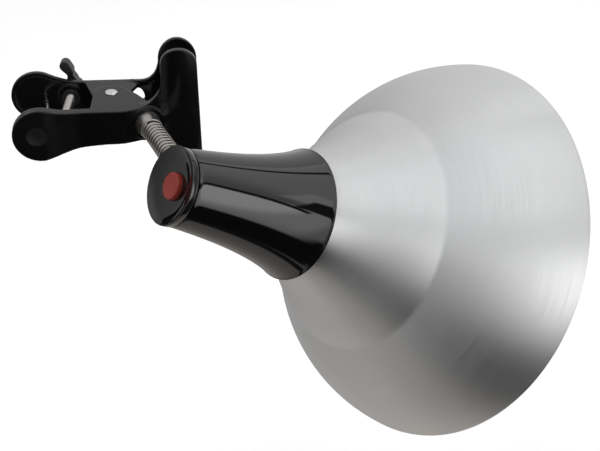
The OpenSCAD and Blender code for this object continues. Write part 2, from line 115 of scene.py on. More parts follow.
# The neck's middle line is a cubic curve through the six bend points, evenly spaced along it
bends = [Vector(joints[f"neck_bend_{i}"]["pos_m"]) / MM for i in range(1, 7)]
W0, W1, W2, W3 = 0.512, 0.384, 0.096, 0.008  # a cubic's weights at its second bend point, t = 0.2
near_1 = bends[1] - W0 * bends[0] - W3 * bends[5]
near_4 = bends[4] - W3 * bends[0] - W0 * bends[5]
NECK = [
    bends[0],
    (W1 * near_1 - W2 * near_4) / (W1**2 - W2**2),
    (W1 * near_4 - W2 * near_1) / (W1**2 - W2**2),
    bends[5],
]


def neck_at(t):
    """Point on the neck's middle line, t from 0 at its root to 1 at the head."""
    a, b, c, d = NECK
    u = 1 - t
    return u**3 * a + 3 * u * u * t * b + 3 * u * t * t * c + t**3 * d


def neck_dir(t):
    """Unit direction of the neck's middle line, towards the head."""
    a, b, c, d = NECK
    u = 1 - t
    return (u * u * (b - a) + 2 * u * t * (c - b) + t * t * (d - c)).normalized()


# ---- mesh helpers ----


def in_metres(place):
    m = place.copy()
    m.translation = place.translation * MM
    return m


def make(name, verts, faces, place=Matrix.Identity(4)):
    """A mesh object from points in millimetres, in a frame whose origin is in millimetres."""
    mesh = bpy.data.meshes.new(name)
    mesh.from_pydata([Vector(v) * MM for v in verts], [], faces)
    mesh.validate()
    mesh.shade_smooth()
    obj = bpy.data.objects.new(name, mesh)
    bpy.context.scene.collection.objects.link(obj)
    obj.matrix_world = in_metres(place)
    return obj


def bezier(p, steps):
    p = [np.array(q, float) for q in p]
    ts = np.linspace(0, 1, steps + 1)
    return [
        (1 - t) ** 3 * p[0]
        + 3 * (1 - t) ** 2 * t * p[1]
        + 3 * (1 - t) * t * t * p[2]
        + t**3 * p[3]
        for t in ts
    ]


def arc(p, q, sag, steps):
    """Arc from p to q that stands out to the left of the chord by sag."""
    p, q = np.array(p, float), np.array(q, float)
    half = np.linalg.norm(q - p) / 2
    r = (half * half + sag * sag) / (2 * sag)
    along = (q - p) / (2 * half)
    out = np.array([-along[1], along[0]])
    centre = (p + q) / 2 - out * (r - sag)
    spread = math.asin(half / r)
    angles = [spread * (2 * i / steps - 1) for i in range(steps + 1)]
    return [centre + r * (math.sin(a) * along + math.cos(a) * out) for a in angles]


def rounded(corners, steps=6):
    """A closed outline from corners (x, y, fillet radius)."""
    out = []
    n = len(corners)
    for i in range(n):
        here = np.array(corners[i][:2], float)
        radius = corners[i][2] if len(corners[i]) > 2 else 0
        if radius <= 0:
            out.append(here)
            continue
        a = np.array(corners[i - 1][:2], float) - here
        b = np.array(corners[(i + 1) % n][:2], float) - here
        la, lb = np.linalg.norm(a), np.linalg.norm(b)
        a, b = a / la, b / lb
        half = math.acos(max(-1, min(1, a @ b))) / 2
        cut = min(radius / math.tan(half), 0.49 * la, 0.49 * lb)
        radius = cut * math.tan(half)
        centre = here + (a + b) / np.linalg.norm(a + b) * radius / math.sin(half)
        p, q = here + a * cut - centre, here + b * cut - centre
        turn = math.acos(max(-1, min(1, (p @ q) / (radius * radius))))
        for k in range(steps + 1):
            s = k / steps
            out.append(
                centre
                + (math.sin((1 - s) * turn) * p + math.sin(s * turn) * q) / math.sin(turn)
            )
    return out


def lathe(name, profile, place, segments=96, closed=True):
    """A turned piece. profile is a list of (radius, height)."""
    verts, rings = [], []
    for r, h in profile:
        if r < 1e-6:
            rings.append([len(verts)])
            verts.append((0, 0, h))
        else:
            rings.append(list(range(len(verts), len(verts) + segments)))
            for k in range(segments):
                a = 2 * math.pi * k / segments
                verts.append((r * math.cos(a), r * math.sin(a), h))
    faces = []
    pairs = list(zip(rings, rings[1:] + rings[:1])) if closed else list(zip(rings, rings[1:]))
    for lower, upper in pairs:
        for k in range(segments):
            n = (k + 1) % segments
            if len(lower) == 1 and len(upper) == 1:
                continue
            if len(lower) == 1:
                faces.append((lower[0], upper[n], upper[k]))
            elif len(upper) == 1:
                faces.append((lower[k], lower[n], upper[0]))
            else:
                faces.append((lower[k], lower[n], upper[n], upper[k]))
    return shell(name, verts, faces, place)


def outward(obj):
    """Turns every face of a closed mesh to look outwards."""
    bm = bmesh.new()
    bm.from_mesh(obj.data)
    bmesh.ops.recalc_face_normals(bm, faces=bm.faces)
    bm.to_mesh(obj.data)
    bm.free()


def sharpen(obj, degrees=40):
    """Smooth shading, with edges kept sharp above an angle."""
    obj.data.shade_smooth()
    obj.data.set_sharp_from_angle(angle=math.radians(degrees))


def shell(name, verts, faces, place=Matrix.Identity(4), degrees=40):
    obj = make(name, verts, faces, place)
    outward(obj)
    sharpen(obj, degrees)
    return obj


def tube_faces(rows, n):
    """Side faces of a tube: rows + 1 rings of n points each."""
    return [(i * n + k, i * n + (k + 1) % n, (i + 1) * n + (k + 1) % n, (i + 1) * n + k)
            for i in range(rows) for k in range(n)]


def sideways(line, t):
    """The same line moved to its left by t."""
    line = np.array(line, float)
    d = np.gradient(line, axis=0)
    d /= np.linalg.norm(d, axis=1)[:, None]
    return list(line + t * np.stack([-d[:, 1], d[:, 0]], 1))


def join(name, objs):
    """One object out of several that share a frame."""
    bm = bmesh.new()
    for o in objs:
        bm.from_mesh(o.data)
    mesh = objs[0].data
    bm.to_mesh(mesh)
    bm.free()
    for o in objs[1:]:
        bpy.data.objects.remove(o)
    objs[0].name = name
    return objs[0]


# ---- material helpers ----


class Material:
    """A node material on one Principled shader, with short calls for what each finish needs."""

    def __init__(self, name, colour, roughness, metallic=0.0, frame_of=None, **constants):
        self.material = bpy.data.materials.new(name)
        self.material.use_nodes = True
        self.tree = self.material.node_tree
        self.shader = self.tree.nodes["Principled BSDF"]
        self.shader.inputs["Base Color"].default_value = (*colour, 1)
        self.shader.inputs["Roughness"].default_value = roughness
        self.shader.inputs["Metallic"].default_value = metallic
        for key, value in constants.items():
            self.shader.inputs[key.replace("_", " ")].default_value = value
        self.coords = self.add("ShaderNodeTexCoord").outputs["Object"]
        self.frame_of = frame_of
        if frame_of:
            self.coords = self.moved(self.coords, "POINT", frame_of.inverted())
        self.normal = None

    def moved(self, vector, kind, matrix):
        node = self.add("ShaderNodeMapping", vector_type=kind)
        self.link(vector, node.inputs["Vector"])
        node.inputs["Rotation"].default_value = matrix.to_euler("XYZ")
        if kind == "POINT":
            node.inputs["Location"].default_value = matrix.translation
        return node.outputs[0]

    def add(self, kind, **settings):
        node = self.tree.nodes.new(kind)
        for key, value in settings.items():
            setattr(node, key, value)
        return node

    def link(self, a, b):
        self.tree.links.new(a, b)

    def math(self, operation, a, b=0.0):
        node = self.add("ShaderNodeMath", operation=operation)
        for socket, value in zip(node.inputs, (a, b)):
            if isinstance(value, (int, float)):
                socket.default_value = value
            else:
                self.link(value, socket)
        return node.outputs[0]

    def noise(self, scale, detail=3.0, vector=None, roughness=0.5):
        node = self.add("ShaderNodeTexNoise")
        node.inputs["Scale"].default_value = scale
        node.inputs["Detail"].default_value = detail
        node.inputs["Roughness"].default_value = roughness
        self.link(vector or self.coords, node.inputs["Vector"])
        return node.outputs["Fac"]

    def around(self, along, turn=1.0):
        """Coordinates that run in rings round the object's Z axis: lines of constant height."""
        parts = self.add("ShaderNodeSeparateXYZ")
        self.link(self.coords, parts.inputs[0])
        x, y, z = parts.outputs
        r = self.math("SQRT", self.math("ADD", self.math("MULTIPLY", x, x),
                                        self.math("MULTIPLY", y, y)))
        r = self.math("MAXIMUM", r, 0.0005)
        out = self.add("ShaderNodeCombineXYZ")
        self.link(self.math("MULTIPLY", self.math("DIVIDE", x, r), turn), out.inputs[0])
        self.link(self.math("MULTIPLY", self.math("DIVIDE", y, r), turn), out.inputs[1])
        self.link(self.math("MULTIPLY", self.math("ADD", z, self.math("MULTIPLY", r, 0.7)), along),
                  out.inputs[2])
        return out.outputs[0]

    def spread(self, value, low, high):
        node = self.add("ShaderNodeMapRange")
        self.link(value, node.inputs["Value"])
        node.inputs["From Min"].default_value = 0.3
        node.inputs["From Max"].default_value = 0.7
        node.inputs["To Min"].default_value = low
        node.inputs["To Max"].default_value = high
        return node.outputs["Result"]

    def rough(self, value, low, high):
        self.link(self.spread(value, low, high), self.shader.inputs["Roughness"])

    def tint(self, value, dark, light):
        node = self.add("ShaderNodeMix", data_type="RGBA")
        self.link(self.spread(value, 0, 1), node.inputs["Factor"])
        node.inputs["A"].default_value = (*dark, 1)
        node.inputs["B"].default_value = (*light, 1)
        self.link(node.outputs["Result"], self.shader.inputs["Base Color"])

    def bump(self, height, depth_mm, strength=1.0):
        node = self.add("ShaderNodeBump")
        node.inputs["Strength"].default_value = strength
        node.inputs["Distance"].default_value = depth_mm * MM
        self.link(height, node.inputs["Height"])
        if self.normal:
            self.link(self.normal, node.inputs["Normal"])
        self.normal = node.outputs[0]
        self.link(self.normal, self.shader.inputs["Normal"])

    def dull_spot(self, centre, radius, roughness):
        """Raises the roughness inside a small sphere, given in metres."""
        node = self.add("ShaderNodeVectorMath", operation="DISTANCE")
        self.link(self.coords, node.inputs[0])
        node.inputs[1].default_value = centre
        inside = self.math("LESS_THAN", node.outputs["Value"], radius)
        socket = self.shader.inputs["Roughness"]
        base = socket.links[0].from_socket
        self.link(self.math("MAXIMUM", base, self.math("MULTIPLY", inside, roughness)), socket)

    def brushed_round(self):
        if not self.frame_of:
            node = self.add("ShaderNodeTangent", direction_type="RADIAL", axis="Z")
            self.link(node.outputs[0], self.shader.inputs["Tangent"])
            return
        round_axis = self.add("ShaderNodeVectorMath", operation="CROSS_PRODUCT")
        round_axis.inputs[0].default_value = (0, 0, 1)
        self.link(self.coords, round_axis.inputs[1])
        local = self.moved(round_axis.outputs[0], "VECTOR", self.frame_of)
        unit = self.add("ShaderNodeVectorMath", operation="NORMALIZE")
        self.link(local, unit.inputs[0])
        world = self.add("ShaderNodeVectorTransform", vector_type="VECTOR",
                         convert_from="OBJECT", convert_to="WORLD")
        self.link(unit.outputs[0], world.inputs[0])
        self.link(world.outputs[0], self.shader.inputs["Tangent"])


def aluminium(name, colour=0.9, roughness=0.5, frame_of=None):
    """Spun sheet, brushed in fine rings."""
    m = Material(name, (colour,) * 3, roughness, 1.0, frame_of,
                 Anisotropic=0.8, Anisotropic_Rotation=0.25)
    fine = m.noise(1.0, 4.0, m.around(5200, 14.0), 0.7)
    broad = m.noise(1.0, 4.0, m.around(900, 2.2), 0.65)
    clouds = m.noise(18.0, 2.0)
    mixed = m.math("ADD", m.math("MULTIPLY", fine, 0.35), m.math("MULTIPLY", broad, 0.65))
    m.rough(mixed, roughness - 0.09, roughness + 0.1)
    soft = m.math("ADD", m.math("MULTIPLY", mixed, 0.5), m.math("MULTIPLY", clouds, 0.5))
    m.tint(soft, (colour - 0.05, colour - 0.046, colour - 0.042),
           (colour + 0.035, colour + 0.04, colour + 0.045))
    m.bump(broad, 0.06, 0.7)
    m.bump(fine, 0.02, 0.6)
    m.brushed_round()
    return m.material


def turned_steel(name, colour, roughness=0.3, lines=3500):
    m = Material(name, colour, roughness, 1.0, Anisotropic=0.5, Anisotropic_Rotation=0.25)
    fine = m.noise(1.0, 3.0, m.around(lines, 10.0), 0.6)
    m.rough(fine, roughness - 0.07, roughness + 0.09)
    m.tint(fine, tuple(c * 0.9 for c in colour), tuple(min(1, c * 1.06) for c in colour))
    m.bump(fine, 0.01, 0.4)
    m.brushed_round()
    return m.material


def plain_metal(name, colour, roughness, grain=900):
    m = Material(name, colour, roughness, 1.0)
    fine = m.noise(grain, 3.0)
    m.rough(fine, roughness - 0.06, roughness + 0.1)
    m.tint(m.noise(60.0), tuple(c * 0.86 for c in colour), colour)
    m.bump(fine, 0.01, 0.35)
    return m.material


def enamel(name):
    """Deep black gloss, with the faint ripple that paint or moulded gloss has."""
    m = Material(name, (0.002, 0.002, 0.0024), 0.05, IOR=1.7)
    ripple = m.noise(70.0, 1.5)
    m.rough(m.noise(240.0, 4.0), 0.03, 0.065)
    m.bump(ripple, 0.08, 0.12)
    m.bump(m.noise(2600.0, 2.0), 0.002, 0.25)
    return m.material


def moulding(name, colour, roughness, grain_mm=0.012, ior=1.5, spot=None, tint=None):
    """Moulded plastic with a very fine spark-eroded grain, and a dull spot if one is given. It is
    grey unless it has a tint."""
    m = Material(name, (colour,) * 3, roughness, IOR=ior)
    grain = m.noise(2400.0, 3.0)
    flow = m.noise(26.0, 2.0)
    m.rough(flow, roughness - 0.04, roughness + 0.06)
    if tint:
        m.tint(flow, [c * 0.8 for c in tint], tint)
    else:
        m.tint(flow, (colour * 0.8,) * 3, (colour * 1.25,) * 3)
    m.bump(grain, grain_mm, 0.5)
    if spot:
        m.dull_spot(*spot)
    return m.material


def rubber(name, colour=0.03):
    m = Material(name, (colour,) * 3, 0.75, IOR=1.5)
    m.tint(m.noise(90.0), (colour * 0.7,) * 3, (colour * 1.4,) * 3)
    m.rough(m.noise(500.0), 0.65, 0.85)
    m.bump(m.noise(1600.0), 0.03, 0.6)
    return m.material


def red_plastic(name):
    m = Material(name, (0.24, 0.03, 0.022), 0.34, IOR=1.45)
    m.tint(m.noise(300.0), (0.215, 0.026, 0.019), (0.265, 0.036, 0.026))
    m.bump(m.noise(2600.0), 0.012, 0.5)
    return m.material


def frosted_glass(name):
    m = Material(name, (0.93, 0.92, 0.89), 0.28, IOR=1.5, Coat_Weight=0.35, Coat_Roughness=0.12)
    m.tint(m.noise(40.0), (0.9, 0.89, 0.86), (0.95, 0.94, 0.92))
    m.bump(m.noise(3000.0), 0.006, 0.4)
    return m.material


DIMPLE = Vector((-76.5, -27.0, 1.25))  # thumb mark in the near finger lobe
DIMPLE_R = 5.4

MATERIALS = {
    "clamp_black": moulding("black_moulding", 0.003, 0.17, 0.003, 1.42,
                            (DIMPLE * MM, DIMPLE_R * MM, 0.5)),
    "pad_rubber": rubber("black_rubber"),
    "rivet_steel": plain_metal("bright_steel", (0.82, 0.82, 0.81), 0.2),
    "spring_steel": plain_metal("spring_wire", (0.5, 0.49, 0.47), 0.32),
    "brass": plain_metal("turned_brass", (0.72, 0.52, 0.24), 0.26),
    "screw_steel": plain_metal("screw_steel", (0.6, 0.58, 0.55), 0.3),
    "knob_black": moulding("knob_plastic", 0.012, 0.36, 0.014),
    "neck_steel": turned_steel("ferrule_steel", (0.5, 0.485, 0.46)),
    "coil_steel": plain_metal("coil_wire", (0.5, 0.48, 0.45), 0.27, 1500),
    "housing_black": enamel("black_enamel"),
    "button_red": red_plastic("button_red"),
    "holder_black": moulding("black_phenolic", 0.014, 0.28, 0.01),
    "shade_aluminium": aluminium("spun_aluminium", frame_of=in_metres(LAMP)),
    "bulb_glass": frosted_glass("frosted_glass"),
    "bulb_cap": turned_steel("cap_aluminium", (0.7, 0.69, 0.66), 0.3, 1500),
    "lead_brown": moulding("brown_insulation", 0.1, 0.45, tint=(0.2, 0.07, 0.02)),
    "lead_blue": moulding("blue_insulation", 0.08, 0.45, tint=(0.02, 0.09, 0.35)),
}

SLOT_OF = {s["node"]: s["material_slot"] for s in frame["record"]["subparts"]}


def finish(obj, node):
    """Gives a piece the slot and the body of the CAD node that it replaces."""
    slot = SLOT_OF[node]
    obj.data.materials.clear()
    obj.data.materials.append(MATERIALS[slot])
    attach(obj, frame["nodes"][node]["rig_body"])
    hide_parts(node)
    return obj


for node, obj in frame["nodes"].items():
    obj.data.materials.clear()
    obj.data.materials.append(MATERIALS[SLOT_OF[node]])

# ---- lamp head; profiles are (radius, distance from the cap's face) ----

SEAT_A = 73.5  # names that end in _A are distances along the lamp's axis
CREASE = (66.5, 125.6)
MOUTH = (109.8, 186.6)
SHEET = 1.0
RIM_R = 1.1
HOUSING_LEN = 78.0
HOUSING_R = 35.3
SHELL = 2.2
GROOVE_A = 3.4
BACK_A = 4.2
CAP_R = 20.0
DISH_A = 2.8
BUTTON_R = 6.8
BUTTON_TOP = 0.2
DISH_R = 19.3
HOLDER_A = 38.0
HOLDER_R = 17.0
BULB_R = 30.0
BULB_FRONT = 170.0


def build_shade():
    neck_start = (31, SEAT_A + 1.4)  # where the flat seat has turned into the first dome
    skin = [(HOLDER_R + 0.4, SEAT_A), (22, SEAT_A), (27, SEAT_A)]
    skin += arc((29.4, SEAT_A), neck_start, -0.35, 5)
    inner_dome = bezier([neck_start, (37.2, 96), (55, 107), CREASE], 44)
    centre = np.array(MOUTH) - (RIM_R - 0.15, 0.3)
    outer_sag, crease_soft = -7.2, 2
    outer_dome = arc(CREASE, centre + (RIM_R - 0.02, -0.9), outer_sag, 52)
    skin += [tuple(p) for p in inner_dome[1:-crease_soft]]
    bend = [inner_dome[-crease_soft - 1], inner_dome[-1], outer_dome[0], outer_dome[crease_soft]]
    skin += [tuple(p) for p in bezier(bend, 8)[1:-1]]
    skin += [tuple(p) for p in outer_dome[crease_soft:]]
    lining = sideways(skin, SHEET)[::-1]
    # the hem is rolled inwards, from the skin round to the lining
    start = np.array(skin[-1]) - centre
    a0 = math.atan2(start[1], start[0])
    bead = [centre + RIM_R * np.array((math.cos(a), math.sin(a)))
            for a in np.linspace(a0 + 0.3, math.pi * 1.2, 18)]
    lining = [q for q in lining if q[1] < centre[1] - 0.75 * RIM_R]
    profile = skin + [tuple(p) for p in bead] + [tuple(p) for p in lining]
    obj = lathe("spun_shade", profile, LAMP, 256)
    obj.data.transform(obj.matrix_world)  # level with the frame, so that its box is its true size
    obj.matrix_world = Matrix.Identity(4)
    return finish(obj, "shade")


def build_housing():
    line = bezier([(19.7, BACK_A), (22.6, 35), (27, 60), (HOUSING_R, HOUSING_LEN)], 48)
    lining = [(p[0] - SHELL, p[1]) for p in line if p[1] < HOUSING_LEN - 0.6][::-1]
    back = line[0][0]
    skin = [(back - 0.5, BACK_A), (back - 0.15, BACK_A + 0.15), (back, BACK_A + 0.5)]
    skin += [tuple(p) for p in line if BACK_A + 0.5 < p[1] < HOUSING_LEN - 0.6]
    lip = [(HOUSING_R - SHELL / 2 + SHELL / 2 * math.cos(a), HOUSING_LEN - 0.5 + 0.5 * math.sin(a))
           for a in np.linspace(0, math.pi, 11)]
    return finish(lathe("trumpet_housing", skin + lip + lining, LAMP, 192), "housing")


def build_cap():
    inner = CAP_R - 1.1
    dish = [(r, DISH_A * (1 - (r / DISH_R) ** 5)) for r in np.linspace(BUTTON_R + 0.4, DISH_R - 0.3, 28)]
    crest = rounded([(dish[-1][0], dish[-1][1]), (DISH_R + 0.1, -0.02, 0.3),
                     (CAP_R, 0.0, 0.45), (CAP_R, GROOVE_A)], 6)[1:-1]
    outline = [(BUTTON_R + 0.05, DISH_A + 2), (BUTTON_R + 0.05, DISH_A + 0.3),
               (BUTTON_R + 0.15, DISH_A + 0.08)] + dish + [tuple(p) for p in crest]
    outline += [(CAP_R, GROOVE_A - 0.3), (CAP_R - 0.25, GROOVE_A), (inner, GROOVE_A),
                (inner, BACK_A), (17.3, BACK_A), (17.3, BACK_A + 4), (15.6, BACK_A + 4),
                (15.6, DISH_A + 2)]
    return finish(lathe("dished_cap", [(r, max(a, 0.0)) for r, a in outline], LAMP, 160), "end_cap")


def build_button():
    flange_r, flange_a = BUTTON_R + 1.2, DISH_A + 2.3
    edge = 0.7
    outline = [(0, BUTTON_TOP)]
    outline += [(r, BUTTON_TOP + 0.12 * (r / 6) ** 2) for r in (1.5, 3, 4.2, 5.2)]
    outline += [(BUTTON_R - edge + edge * math.sin(a), BUTTON_TOP + 0.12 + edge * (1 - math.cos(a)))
                for a in np.linspace(0, math.pi / 2, 9)]
    outline += [(BUTTON_R, flange_a), (flange_r, flange_a), (flange_r, flange_a + 1.2),
                (2.4, flange_a + 1.2), (2.4, flange_a + 3.9), (2.1, flange_a + 4.1),
                (0, flange_a + 4.1)]
    return finish(lathe("push_button", outline, LAMP, 96, closed=False), "switch_button")


build_shade()
build_housing()
build_cap()
build_button()


def build_bulb():
    neck_a, glass_t = 82, 1.0
    centre = BULB_FRONT - BULB_R
    skin = bezier([(12.6, neck_a), (14, neck_a + 20), (BULB_R - 2, centre - 24), (BULB_R, centre)], 30)
    skin += [np.array((BULB_R * math.cos(a), centre + BULB_R * math.sin(a)))
             for a in np.linspace(0, math.pi / 2, 30)[1:]]
    skin[-1][0] = 0
    lining = [(p[0] - glass_t, p[1]) for p in skin[:30]]
    lining += [((BULB_R - glass_t) * math.cos(a), centre + (BULB_R - glass_t) * math.sin(a))
               for a in np.linspace(0, math.pi / 2, 30)[:-1]] + [(0, BULB_FRONT - glass_t)]
    profile = [tuple(p) for p in skin] + lining[::-1]
    return finish(lathe("globe_bulb", profile, LAMP, 128), "bulb_glass")


def threaded(name, place, low, high, major, depth, pitch, segments=48, per_turn=10, bore=0.0):
    """A rod or sleeve with a round-crested screw thread; its thread fades in at both ends."""
    rows = int((high - low) / pitch * per_turn)
    verts = []
    for i in range(rows + 1):
        h = low + (high - low) * i / rows
        fade = min(1.0, (h - low) / pitch, (high - h) / pitch)
        for k in range(segments):
            a = 2 * math.pi * k / segments
            wave = 0.5 - 0.5 * math.cos(2 * math.pi * (h / pitch - k / segments))
            r = major - depth * (1 - fade) - depth * fade * wave
            verts.append((r * math.cos(a), r * math.sin(a), h))
    faces = tube_faces(rows, segments)
    last = rows * segments
    if bore:
        base = len(verts)
        for h in (low, high):
            for k in range(segments):
                a = 2 * math.pi * k / segments
                verts.append((bore * math.cos(a), bore * math.sin(a), h))
        for k in range(segments):
            n = (k + 1) % segments
            faces.append((base + k, base + n, n, k))
            faces.append((last + k, last + n, base + segments + n, base + segments + k))
            faces.append((base + segments + k, base + segments + n, base + n, base + k))
    else:
        faces.append(tuple(range(segments))[::-1])
        faces.append(tuple(range(last, last + segments)))
    return shell(name, verts, faces, place, 60)


def build_bulb_cap():
    low = HOLDER_A + 15
    obj = threaded("bulb_screw_cap", LAMP, low + 3, 82, 13.2, 0.9, 3.63, 72, 14, bore=11.6)
    tip = lathe("tip", [(0, low - 3.2), (3.6, low - 3.2), (4.2, low - 2.8), (7.8, low - 0.2),
                        (11.8, low), (12.3, low + 0.6), (12.3, low + 3.1), (11.0, low + 3.1),
                        (11.0, low + 1.2), (0, low + 1.2)], LAMP, 72, closed=False)
    return finish(join("bulb_screw_cap", [obj, tip]), "bulb_cap")


def build_shade_ring():
    """The holder's ring that grips the shade, knurled round its edge."""
    teeth, tooth_depth, outer, inner = 72, 0.35, 22.5, HOLDER_R
    low = SEAT_A + SHEET
    high = low + 3.2
    verts, faces = [], []
    loops = [(inner, low, 0), (outer - 0.3, low, 1), (outer, low + 0.3, 1), (outer, high - 0.6, 1),
             (outer - 0.6, high, 0), (inner + 0.5, high, 0), (inner, high - 0.5, 0)]
    n = teeth * 4
    for r, h, toothed in loops:
        for k in range(n):
            a = 2 * math.pi * k / n
            q = r - (tooth_depth if toothed and k % 4 >= 2 else 0)
            verts.append((q * math.cos(a), q * math.sin(a), h))
    for i in range(len(loops)):
        m = (i + 1) % len(loops)
        for k in range(n):
            faces.append((i * n + k, i * n + (k + 1) % n, m * n + (k + 1) % n, m * n + k))
    return finish(shell("shade_clamp_ring", verts, faces, LAMP, 35), "shade_ring")


build_bulb()
build_bulb_cap()
build_shade_ring()


def wire(name, path, radius, place=Matrix.Identity(4), segments=12):
    """A round wire along a path."""
    path = [Vector(p) for p in path]
    verts, across = [], None
    for i, p in enumerate(path):
        ahead = (path[min(i + 1, len(path) - 1)] - path[max(i - 1, 0)]).normalized()
        if across is None:
            across = ahead.orthogonal()
        across = (across - across.dot(ahead) * ahead).normalized()
        other = ahead.cross(across)
        for k in range(segments):
            a = 2 * math.pi * k / segments
            verts.append(p + radius * (math.cos(a) * across + math.sin(a) * other))
    last = (len(path) - 1) * segments
    ends = [tuple(range(segments)), tuple(range(last, last + segments))]
    return shell(name, verts, tube_faces(len(path) - 1, segments) + ends, place, 60)


def winding(radius, low, high, turns, start=0.0, per_turn=32):
    """The path of a coil round Z; start is its first angle."""
    steps = int(turns * per_turn)
    angles = [start + 2 * math.pi * turns * i / steps for i in range(steps + 1)]
    return [(radius * math.cos(a), radius * math.sin(a), low + (high - low) * i / steps)
            for i, a in enumerate(angles)]


def build_button_spring():
    """Winds from the button's flange to the switch."""
    coil_r, wire_r, turns, low, high = 4.4, 0.33, 4.25, DISH_A + 3.9, 12.4
    obj = wire("button_coil_spring", winding(coil_r, low, high, turns), wire_r, LAMP)
    slot = SLOT_OF["button_spring"]
    obj.data.materials.append(MATERIALS[slot])
    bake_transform(obj)
    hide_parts("button_spring")


def build_hinge_spring():
    """Torsion spring round the rivet, with a leg that bears on the near half."""
    coil_r, wire_r, half, turns = 3.6, 0.8, 3.8, 4.5
    leg_len, lean, taper = 14.5, math.radians(8), 0.02
    leg = [(coil_r - taper * d - d * math.sin(lean), -d * math.cos(lean), -half)
           for d in np.linspace(leg_len, wire_r, 12)]
    coil = winding(coil_r, -half, half, turns, start=-lean)
    return finish(wire("hinge_coil_spring", leg + coil, wire_r, HINGE), "hinge_spring")


build_button_spring()
build_hinge_spring()

# ---- flexible neck ----

COIL_R = 5.85
WIRE_H = 1.25
PITCH = 2.9
GAP = 0.7
CUTS = [-0.012, 0.1, 0.3, 0.5, 0.7, 0.9, 1.012]  # along the neck; each piece crosses one bend


def neck_place(t):
    """Point and frame on the neck's middle line, carried a little past its ends."""
    inside = min(1.0, max(0.0, t))
    chord = (NECK[3] - NECK[0]).length
    z = neck_dir(inside)
    p = neck_at(inside) + (t - inside) * chord * z
    x = Vector((z.y, -z.x, 0)).normalized()
    return p, x, z.cross(x), z


def wire_piece(name, t0, t1, turns):
    """A stretch of flat wire wound on the neck, turns per unit of t."""
    half_w, top = (PITCH - GAP) / 2, COIL_R
    section = rounded([(-half_w, top - WIRE_H, 0.15), (half_w, top - WIRE_H, 0.15),
                       (half_w, top, 0.8), (-half_w, top, 0.8)], 5)
    per_turn = 56
    steps = max(2, int((t1 - t0) * turns * per_turn))
    verts, n = [], len(section)
    for i in range(steps + 1):
        t = t0 + (t1 - t0) * i / steps
        p, x, y, z = neck_place(t)
        a = 2 * math.pi * turns * t
        out = math.cos(a) * x + math.sin(a) * y
        for along, r in section:
            verts.append(p + float(r) * out + float(along) * z)
    ends = [tuple(range(n)), tuple(range(steps * n, steps * n + n))]
    return shell(name, verts, tube_faces(steps, n) + ends, degrees=50)


def sleeve_and_gap_shade_piece(name, t0, t1, radius=4.3, segments=24, steps=8):
    """A stretch of the black sleeve inside the winding; its black also stands in as painted shade in the
    gaps between the turns.
    """
    verts = []
    for i in range(steps + 1):
        p, x, y, z = neck_place(t0 + (t1 - t0) * i / steps)
        for k in range(segments):
            a = 2 * math.pi * k / segments
            verts.append(p + radius * (math.cos(a) * x + math.sin(a) * y))
    last = steps * segments
    ends = [tuple(range(segments)), tuple(range(last, last + segments))]
    return shell(name, verts, tube_faces(steps, segments) + ends)


def build_neck():
    length = sum((neck_at((i + 1) / 50) - neck_at(i / 50)).length for i in range(50))
    turns = length / PITCH
    for i in range(6):
        t0, t1 = CUTS[i], CUTS[i + 1]
        coil_nodes = sorted({f"neck_coil_{k}" for k in (i, i + 1) if 1 <= k <= 5})
        # each stretch of winding gets a black sleeve inside it, which is also painted shade seen through
        # the gaps between the turns
        for obj, slot in ((wire_piece(f"coil_wire_{i + 1}", t0, t1, turns), "coil_steel"),
                          (sleeve_and_gap_shade_piece(f"coil_sleeve_and_gap_shade_{i + 1}", t0, t1), "pad_rubber")):
            obj.data.materials.append(MATERIALS[slot])
            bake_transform(obj)
            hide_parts(*coil_nodes)


build_neck()


def build_ferrules():
    place = axis_frame("neck_ferrule", neck_dir(0))
    end = 7.9
    profile = rounded([(4.25, 0), (6.8, 0), (7.1, 0.0, 0.35), (6.98, 1.0), (6.15, end - 1.2, 0.5),
                       (6.15, end - 0.35, 0.3), (5.7, end, 0.2), (4.25, end)], 6)
    finish(lathe("neck_ferrule_turned", [tuple(p) for p in profile], place, 96), "neck_ferrule")
    flange, top = 6.4, 12.4
    profile = [(0, 0), (3.9, 0), (4.2, 0.3), (4.2, flange), (6.2, flange), (6.4, flange + 0.2),
               (6.33, flange + 1.2), (6.02, top - 0.3), (5.75, top), (0, top)]
    finish(lathe("end_ferrule_turned", profile, axis_frame("end_ferrule", -neck_dir(1)), 96,
                 closed=False), "end_ferrule")


build_ferrules()


SCREW_R = 2.7
THREAD_DEPTH = 0.36
THREAD_PITCH = 0.8


def build_screw():
    length = np.ptp(points_of("clamp_screw") @ np.array(SCREW.to_3x3().col[2]))
    rod = threaded("clamp_screw_thread", SCREW, 0.0, length, SCREW_R, THREAD_DEPTH, THREAD_PITCH,
                   32, 8)
    finish(rod, "clamp_screw")


build_screw()


def build_rivet():
    top = points_of("hinge_rivet")[:, 2].max()
    head_r, head_h, shank, edge = 3.5, 1.4, 2.2, 0.15
    under = top - head_h
    half = [(shank, 0), (shank, under), (head_r - 0.1, under), (head_r, under + edge)]
    half += [(head_r * math.cos(a), under + edge + (head_h - edge) * math.sin(a))
             for a in np.linspace(0.1, math.pi / 2, 12)[:-1]] + [(0, top)]
    lower = [(r, -h) for r, h in half[1:]][::-1]
    finish(lathe("domed_rivet", lower + half, HINGE, 64, closed=False), "hinge_rivet")


build_rivet()


# ---- the clamp's halves and its wing knob ----

JAW_HALF_W = 10.6
JAW_EDGE_Y = 13.6
JAW_BULGE = 2.8
FLARE_X = 52.0
FLARE_LEN = 22.0
WALL = 2.2
NEAR_WALL = (20.5, 34.0, 7.0)  # handle's distance, where its shoulder begins, flare of its lobe
FAR_WALL = (26.3, 27.0, 3.2)


